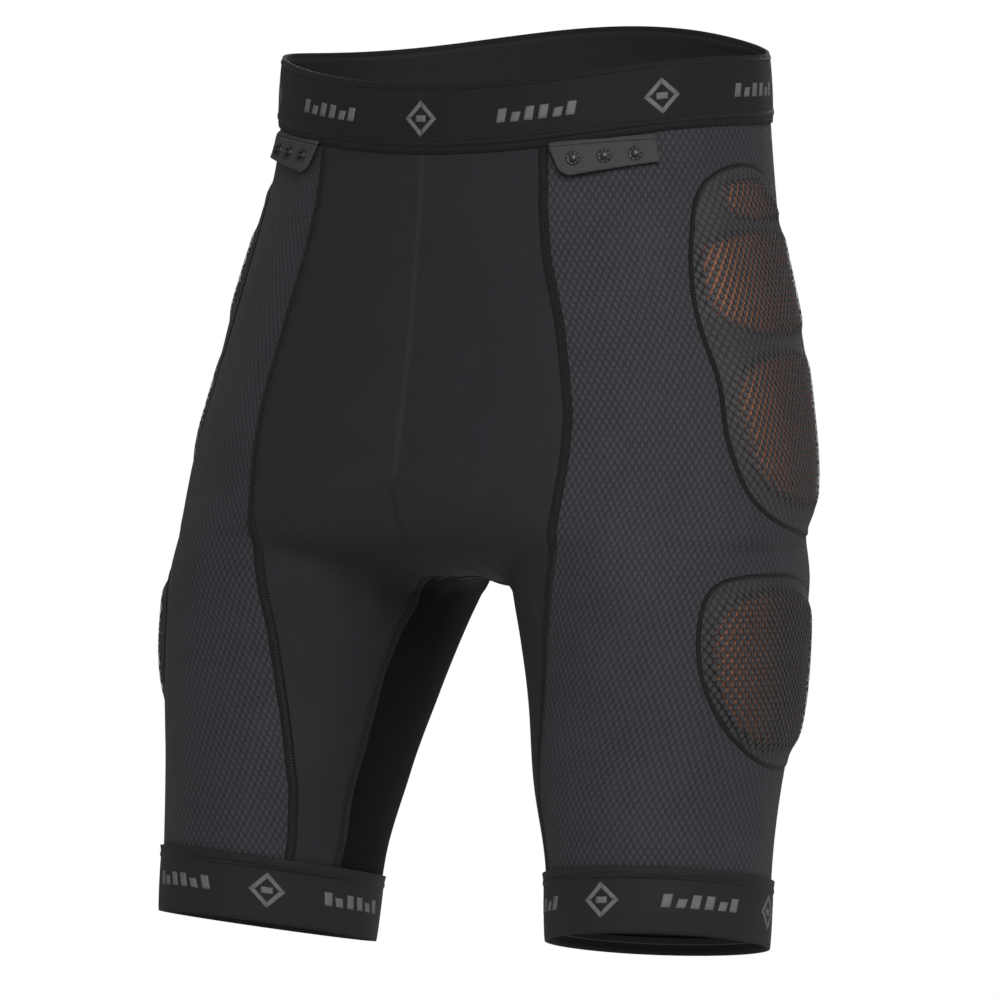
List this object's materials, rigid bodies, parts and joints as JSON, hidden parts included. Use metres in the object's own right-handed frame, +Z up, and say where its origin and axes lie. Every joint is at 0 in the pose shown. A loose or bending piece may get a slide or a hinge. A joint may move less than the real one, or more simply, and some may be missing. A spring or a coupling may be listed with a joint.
{
  "type": "padded impact shorts",
  "caption": "Close-fitting stretch liner shorts with soft armour pads in mesh pockets at hips, thighs and tailbone, a seat pad, gripper leg bands and snap tabs under the waistband",
  "frame": {"origin": "middle of the waist opening, at the level of the waistband's rim", "axes": "+Z up toward the waist, the front of the shorts faces -Y, the wearer's left is +X"},
  "size_m": [0.4046, 0.2519, 0.515],
  "materials": {
    "armour_foam": "soft matt",
    "band_backing": "brushed",
    "band_elastic": "woven elastic with pale marks",
    "label": "satin",
    "mesh_knit": "diamond mesh knit",
    "pocket_mesh": "open diamond mesh",
    "seam_thread": "flatlock stitching",
    "seat_cloth": "smooth",
    "seat_foam": "brushed foam",
    "silicone": "satin",
    "smooth_knit": "smooth matt stretch knit",
    "snap_metal": "satin black",
    "tab_tape": "ribbed tape"
  },
  "bodies": {
    "garment": {"back_panel": "smooth_knit", "back_seam_left": "seam_thread", "back_seam_right": "seam_thread", "care_label": "label", "crotch_gusset": "smooth_knit", "front_panel": "smooth_knit", "front_seam_left": "seam_thread", "front_seam_right": "seam_thread", "hip_pad_left": "armour_foam", "hip_pad_right": "armour_foam", "hip_pocket_cover_left": "pocket_mesh", "hip_pocket_cover_right": "pocket_mesh", "hip_pocket_seam_left": "seam_thread", "hip_pocket_seam_right": "seam_thread", "inner_back_seam": "seam_thread", "inner_front_seam": "seam_thread", "leg_band_left": "band_elastic", "leg_band_right": "band_elastic", "leg_gripper_left": "silicone", "leg_gripper_right": "silicone", "leg_stitching_left": "seam_thread", "leg_stitching_right": "seam_thread", "seat_pad_base": "seat_cloth", "seat_pad_foam": "seat_foam", "side_panel_left": "mesh_knit", "side_panel_right": "mesh_knit", "tab_anchor_left": "tab_tape", "tab_anchor_right": "tab_tape", "tailbone_pad": "armour_foam", "tailbone_pocket_cover": "pocket_mesh", "tailbone_pocket_seam": "seam_thread", "thigh_pad_left": "armour_foam", "thigh_pad_right": "armour_foam", "thigh_pocket_cover_left": "pocket_mesh", "thigh_pocket_cover_right": "pocket_mesh", "thigh_pocket_seam_left": "seam_thread", "thigh_pocket_seam_right": "seam_thread", "waist_stitching": "seam_thread", "waistband": "band_elastic", "waistband_backing": "band_backing"},
    "tab_left": {"snap_prong_rings_left": "snap_metal", "snap_studs_left": "snap_metal", "snap_tab_left": "tab_tape"},
    "tab_right": {"snap_prong_rings_right": "snap_metal", "snap_studs_right": "snap_metal", "snap_tab_right": "tab_tape"}
  },
  "joints": [
    {"name": "tab_left_flap", "type": "hinge", "parent": "garment", "child": "tab_left", "pos_m": [0.10367, -0.07246, -0.04876], "axis": [-0.8361, -0.543, -0.0785], "range_deg": [0, 140]},
    {"name": "tab_right_flap", "type": "hinge", "parent": "garment", "child": "tab_right", "pos_m": [-0.10367, -0.07246, -0.04876], "axis": [-0.8361, 0.543, 0.0785], "range_deg": [0, 140]}
  ]
}
